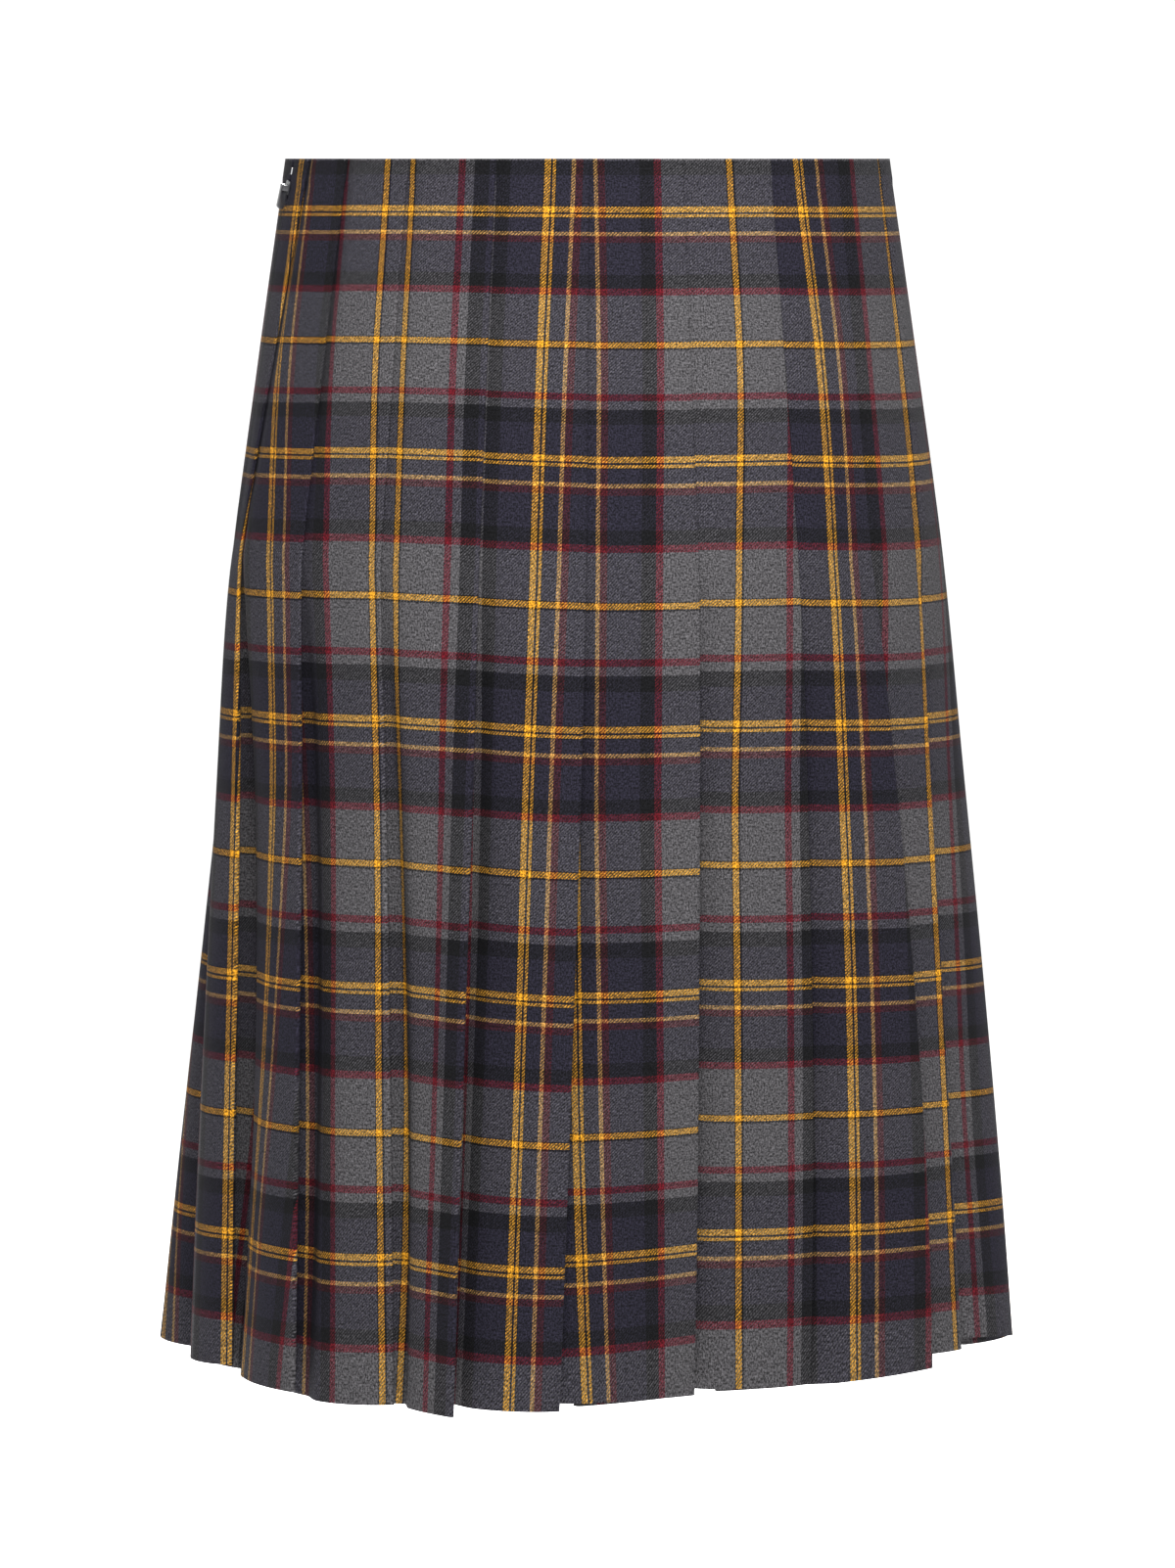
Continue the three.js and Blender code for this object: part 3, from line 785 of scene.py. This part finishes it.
def stripe_ramp(nodes, place):
    """The yarn colour at a place in the repeat."""
    node = nodes.put("ShaderNodeValToRGB", {0: place})
    ramp = node.color_ramp
    ramp.interpolation = "CONSTANT"
    total = sum(width for _, width in STRIPES)
    start = 0
    for index, (yarn, width) in enumerate(STRIPES):
        stop = ramp.elements[0] if index == 0 else ramp.elements.new(start / total)
        stop.position = start / total
        stop.color = opaque(YARNS[yarn])
        start += width
    ramp.elements.remove(ramp.elements[-1])
    return node.outputs[0]


def fleck_noise(nodes, place, stretch, ends, values):
    """Noise stretched over the cloth, with its ends spread to two brightnesses."""
    scaled = nodes.put("ShaderNodeVectorMath", {0: place, 1: stretch}, operation="MULTIPLY")
    noise = nodes.put(
        "ShaderNodeTexNoise", {"Vector": scaled.outputs[0], "Scale": 1.0, "Detail": 2.0}
    )
    low, high = ends
    dark, light = values
    spread = nodes.put(
        "ShaderNodeMapRange", {0: noise.outputs[0], 1: low, 2: high, 3: dark, 4: light}
    )
    return spread.outputs[0]


def tartan_material():
    nodes = Nodes("tartan_wool")
    cloth_map = nodes.put("ShaderNodeUVMap", uv_map="cloth").outputs[0]
    split = nodes.put("ShaderNodeSeparateXYZ", {0: cloth_map})
    across, along = split.outputs[0], split.outputs[1]
    warp_colour = stripe_ramp(nodes, nodes.math("FRACT", across))
    weft_colour = stripe_ramp(nodes, nodes.math("FRACT", along))

    # Yarns counted across and along; the cloth is a two-and-two twill of them.
    yarns = REPEAT / YARN_PITCH
    warp_count = nodes.math("MULTIPLY", across, yarns)
    weft_count = nodes.math("MULTIPLY", along, yarns)
    whole = nodes.math("ADD", nodes.math("FLOOR", warp_count), nodes.math("FLOOR", weft_count))
    turn = nodes.math("FRACT", nodes.math("DIVIDE", nodes.math("ADD", whole, 0.5), 4))
    warp_on_top = nodes.math("LESS_THAN", turn, 0.5)

    # Uneven wool: thick and thin places along each yarn, and flecks of lighter and darker fibre.
    fine, coarse = yarns * WORSTED_ACROSS, yarns * WORSTED_ALONG
    worsted = []
    for stretch in ((fine, coarse, 1.0), (coarse, fine, 1.0)):
        worsted.append(fleck_noise(nodes, cloth_map, stretch, WORSTED_ENDS, WORSTED_VALUES))
    stretch = (FLECKS, FLECKS_ALONG, 1.0)
    melange = fleck_noise(nodes, cloth_map, stretch, MELANGE_ENDS, MELANGE_VALUES)
    warp_wool = nodes.mixed("MULTIPLY", 1.0, warp_colour, worsted[0])
    weft_wool = nodes.mixed("MULTIPLY", 1.0, weft_colour, worsted[1])
    one_yarn = nodes.mixed("MIX", warp_on_top, weft_wool, warp_wool)
    product = nodes.mixed("MULTIPLY", 1.0, warp_wool, weft_wool)
    blended = nodes.put("ShaderNodeGamma", {0: product, 1: 0.5}).outputs[0]
    cloth = nodes.mixed("MIX", BLEND, one_yarn, blended)
    woven = nodes.mixed("MULTIPLY", 1.0, cloth, melange)

    # Each float stands up round, and sinks where it goes under.
    rounds = []
    for count in (warp_count, weft_count):
        wave = nodes.math("SINE", nodes.math("MULTIPLY", nodes.math("FRACT", count), math.pi))
        rounds.append(wave)
    height = nodes.put("ShaderNodeMix", {0: warp_on_top, 2: rounds[1], 3: rounds[0]}).outputs[0]
    bump = nodes.put(
        "ShaderNodeBump", {"Height": height, "Distance": 0.00012, "Strength": 0.5}
    )
    shader = nodes.put(
        "ShaderNodeBsdfPrincipled",
        {
            "Base Color": woven,
            "Roughness": 0.85,
            "Specular IOR Level": 0.05,
            "Sheen Weight": 0.005,
            "Sheen Roughness": 0.5,
            "Sheen Tint": (0.9, 0.9, 1.0, 1.0),
            "Normal": bump.outputs[0],
        },
    )
    return nodes.finish(shader)


def woven_tape_material():
    nodes = Nodes("zip_tape")
    place = nodes.put("ShaderNodeTexCoord").outputs["Object"]
    noise = nodes.put("ShaderNodeTexNoise", {"Vector": place, "Scale": 2500.0, "Detail": 2.0})
    colour = nodes.put("ShaderNodeMapRange", {0: noise.outputs[0], 3: 0.006, 4: 0.022})
    wave = nodes.put("ShaderNodeTexWave", {"Vector": place, "Scale": 900.0}, bands_direction="Z")
    bump = nodes.put("ShaderNodeBump", {"Height": wave.outputs[1], "Distance": 0.0001})
    shader = nodes.put(
        "ShaderNodeBsdfPrincipled",
        {
            "Base Color": colour.outputs[0],
            "Roughness": 0.8,
            "Sheen Weight": 0.1,
            "Normal": bump.outputs[0],
        },
    )
    return nodes.finish(shader)


def hard_material(name, dark, light, roughness, metallic, coat):
    """Enamel, nylon or nickel: an even colour with faint handling marks in its gloss."""
    nodes = Nodes(name)
    place = nodes.put("ShaderNodeTexCoord").outputs["Object"]
    noise = nodes.put("ShaderNodeTexNoise", {"Vector": place, "Scale": 700.0, "Detail": 4.0})
    colour = nodes.mixed("MIX", noise.outputs[0], opaque(dark), opaque(light))
    gloss = nodes.put(
        "ShaderNodeMapRange", {0: noise.outputs[0], 3: roughness * 0.7, 4: roughness * 1.4}
    )
    shader = nodes.put(
        "ShaderNodeBsdfPrincipled",
        {
            "Base Color": colour,
            "Roughness": gloss.outputs[0],
            "Metallic": metallic,
            "Coat Weight": coat,
            "Coat Roughness": 0.08,
        },
    )
    return nodes.finish(shader)


# Zip sizes: the tapes' front is so far behind the middle of the cloth, and the coil stands on it.
ZIP_TOP = 2
ZIP_BOTTOM = 170
TAPE_HALF_WIDTH = 8
TAPE_THICK = 0.48
TAPE_FRONT = 1.1
TAPE_ROWS = 57
TAPE_COLUMNS = (-1, -0.9, -0.6, -0.3, 0, 0.3, 0.6, 0.9, 1)
COIL_TOP = 10
COIL_BOTTOM = 166
COIL_FRONT = 0.8
TOOTH_PITCH = 1.3
TOOTH_HALF_WIDTH = 1.7
TOOTH_HALF_DEPTH = 0.45
TOOTH_TWIST = 0.25
TOOTH_WIRE = 0.32
TOOTH_STEPS = 10
WIRE_STEPS = 6


def opening_frame(down):
    """The middle of the side opening at one height, the way out, and places beside it."""
    face = Face(ZIP_PLEAT, down, Ring(down))
    middle = opening_part(down)
    ends = face.point(np.array([middle - NORMAL_STEP, middle + NORMAL_STEP]))
    per_part = np.linalg.norm(ends[1] - ends[0]) / (2 * NORMAL_STEP)
    out = outward(ends[0], ends[1])

    def beside(side, behind):
        place = face.point(np.array([middle + side / per_part]))[0] - out * behind
        return np.array([place[0], place[1], -down])

    return beside


def make_tape(material):
    """Both tapes of the closed zip, as one strip behind the opening."""
    downs = np.linspace(ZIP_TOP, ZIP_BOTTOM, TAPE_ROWS)
    sides = np.array(TAPE_COLUMNS) * TAPE_HALF_WIDTH
    outer, inner = [], []
    for down in downs:
        beside = opening_frame(down)
        outer += [beside(side, TAPE_FRONT) for side in sides]
        inner += [beside(side, TAPE_FRONT + TAPE_THICK) for side in sides]
    vertices = np.array(outer + inner) * MM
    faces = wall_faces(len(downs), len(sides))
    return new_object("zip_tapes", vertices.tolist(), faces.tolist(), material)


def tooth_ring(place, across, up, out):
    """One tooth of the coil: a small oval loop of round wire."""
    vertices = []
    for step in range(TOOTH_STEPS):
        angle = 2 * math.pi * step / TOOTH_STEPS
        sideways = across * (TOOTH_HALF_WIDTH * math.cos(angle))
        reach = sideways + out * (TOOTH_HALF_DEPTH * math.sin(angle))
        middle = place + reach + up * (TOOTH_TWIST * math.sin(2 * angle))
        away = reach.normalized()
        for turn in range(WIRE_STEPS):
            bend = 2 * math.pi * turn / WIRE_STEPS
            vertices.append(middle + (away * math.cos(bend) + up * math.sin(bend)) * TOOTH_WIRE)
    faces = []
    for step in range(TOOTH_STEPS):
        here = step * WIRE_STEPS
        after = (step + 1) % TOOTH_STEPS * WIRE_STEPS
        for turn in range(WIRE_STEPS):
            beside = (turn + 1) % WIRE_STEPS
            faces.append([here + turn, here + beside, after + beside, after + turn])
    return vertices, faces


def make_coil(material):
    """The closed coil in front of the tapes, tooth by tooth."""
    vertices, faces = [], []
    for down in np.arange(COIL_TOP, COIL_BOTTOM, TOOTH_PITCH):
        beside = opening_frame(down)
        left = Vector(beside(-1, COIL_FRONT))
        right = Vector(beside(1, COIL_FRONT))
        place = (left + right) / 2
        across = (right - left).normalized()
        out = (Vector(beside(0, COIL_FRONT)) - Vector(beside(0, COIL_FRONT + 1))).normalized()
        tooth, loops = tooth_ring(place, across, out.cross(across).normalized(), out)
        faces += [[corner + len(vertices) for corner in loop] for loop in loops]
        vertices += [point * MM for point in tooth]
    return new_object("zip_coil", vertices, faces, material)


# How the hard solids are rounded: points this near are one, edges that turn less than the first
# angle are taken out, those that turn more than the second are rounded, and the third shades sharp.
WELD = 0.02
FLAT_TURN = 2
ROUNDED_TURN = 34.4
SHARP_TURN = 40
ROUNDING_STEPS = 3


def rounded_copy(node, name, width, material):
    """A copy of a hard solid with its edges rounded."""
    build = bmesh.new()
    build.from_mesh(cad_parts[node].data)
    bmesh.ops.remove_doubles(build, verts=build.verts, dist=WELD * MM)
    bmesh.ops.dissolve_limit(
        build, angle_limit=math.radians(FLAT_TURN), verts=build.verts, edges=build.edges
    )
    turned = math.radians(ROUNDED_TURN)
    sharp = [edge for edge in build.edges if edge.is_manifold and edge.calc_face_angle() > turned]
    bmesh.ops.bevel(
        build,
        geom=sharp,
        offset=width * MM,
        offset_type="OFFSET",
        segments=ROUNDING_STEPS,
        profile=0.5,
        affect="EDGES",
        clamp_overlap=True,
    )
    bmesh.ops.triangulate(build, faces=build.faces)
    mesh = bpy.data.meshes.new(name)
    build.to_mesh(mesh)
    build.free()
    mesh.materials.clear()
    mesh.materials.append(material)
    mesh.shade_smooth()
    mesh.set_sharp_from_angle(angle=math.radians(SHARP_TURN))
    thing = bpy.data.objects.new(name, mesh)
    bpy.context.collection.objects.link(thing)
    return thing


# The zip's hard materials: the darkest and lightest colour of each one, and its gloss.
HARD_COLUMNS = ("name", "dark", "light", "roughness", "metallic", "coat")
HARD_ROWS = (
    ("zip_nylon", (0.008, 0.008, 0.009), (0.02, 0.02, 0.022), 0.35, 0.0, 0.2),
    ("black_enamel", (0.004, 0.004, 0.005), (0.009, 0.009, 0.011), 0.3, 0.0, 0.25),
    ("zip_metal", (0.55, 0.56, 0.57), (0.72, 0.73, 0.74), 0.25, 1.0, 0.0),
)

tartan = tartan_material()
nylon, enamel, nickel = (hard_material(**dict(zip(HARD_COLUMNS, row))) for row in HARD_ROWS)
front = make_panel("front_cloth", front_line, tartan)
back = make_panel("back_cloth", back_line, tartan)
tapes = make_tape(woven_tape_material())
coil = make_coil(nylon)
slider = rounded_copy("zip_slider", "zip_slider_body", 0.2, enamel)
pull = rounded_copy("zip_pull", "zip_pull_tab", 0.5, enamel)
stop = rounded_copy("zip_top_stop", "zip_end_stop", 0.2, nickel)

for piece in (front, back, tapes, coil, slider, stop):
    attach(piece, "skirt")
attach(pull, "pull")
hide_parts("front_panel")
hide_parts("back_panel")
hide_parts("zip_strip")
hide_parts("zip_slider")
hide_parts("zip_pull")
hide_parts("zip_top_stop")


def stage_material():
    nodes = Nodes("pale_floor")
    shader = nodes.put(
        "ShaderNodeBsdfPrincipled", {"Base Color": (0.9, 0.9, 0.9, 1.0), "Roughness": 0.9}
    )
    return nodes.finish(shader)


FLOOR_HEIGHT = -0.95
FLOOR_HALF = 14


def make_floor():
    corners = [(-1, -1), (1, -1), (1, 1), (-1, 1)]
    vertices = [(x * FLOOR_HALF, y * FLOOR_HALF, FLOOR_HEIGHT) for x, y in corners]
    floor = new_object("floor", vertices, [[0, 1, 2, 3]], stage_material())


def make_world():
    world = bpy.data.worlds.new("studio")
    world.use_nodes = True
    background = world.node_tree.nodes["Background"]
    background.inputs[0].default_value = (1.0, 1.0, 1.0, 1.0)
    background.inputs[1].default_value = 1.12
    bpy.context.scene.world = world


# Soft lights: where each stands, its width and its power, all facing the middle of the skirt.
LIGHT_COLUMNS = ("name", "place", "size", "power")
LIGHT_ROWS = (
    ("front_light", (0.1, -1.3, 1.0), 0.6, 135),
    ("back_light", (-0.1, 1.3, 1.0), 0.6, 135),
)
LIGHTS = [dict(zip(LIGHT_COLUMNS, row)) for row in LIGHT_ROWS]
SKIRT_MIDDLE = Vector((0, 0, -0.29))


def make_lights():
    for row in LIGHTS:
        light = bpy.data.lights.new(row["name"], "AREA")
        light.size = row["size"]
        light.energy = row["power"]
        lamp = bpy.data.objects.new(row["name"], light)
        lamp.location = row["place"]
        lamp.rotation_euler = (SKIRT_MIDDLE - lamp.location).to_track_quat("-Z", "Y").to_euler()
        bpy.context.collection.objects.link(lamp)


CAMERA_PLACE = (0, -3.0, 0)
CAMERA_PITCH_DOWN = 5.79
CAMERA_LENS = 141.6
CAMERA_SENSOR = 36


def make_camera():
    lens = bpy.data.cameras.new("camera")
    lens.sensor_fit = "VERTICAL"
    lens.sensor_height = CAMERA_SENSOR
    lens.lens = CAMERA_LENS
    camera = bpy.data.objects.new("camera", lens)
    camera.location = CAMERA_PLACE
    camera.rotation_euler = (math.radians(90 - CAMERA_PITCH_DOWN), 0, 0)
    bpy.context.collection.objects.link(camera)
    bpy.context.scene.camera = camera


make_floor()
make_world()
make_lights()
make_camera()
bpy.context.scene.view_settings.view_transform = "Standard"
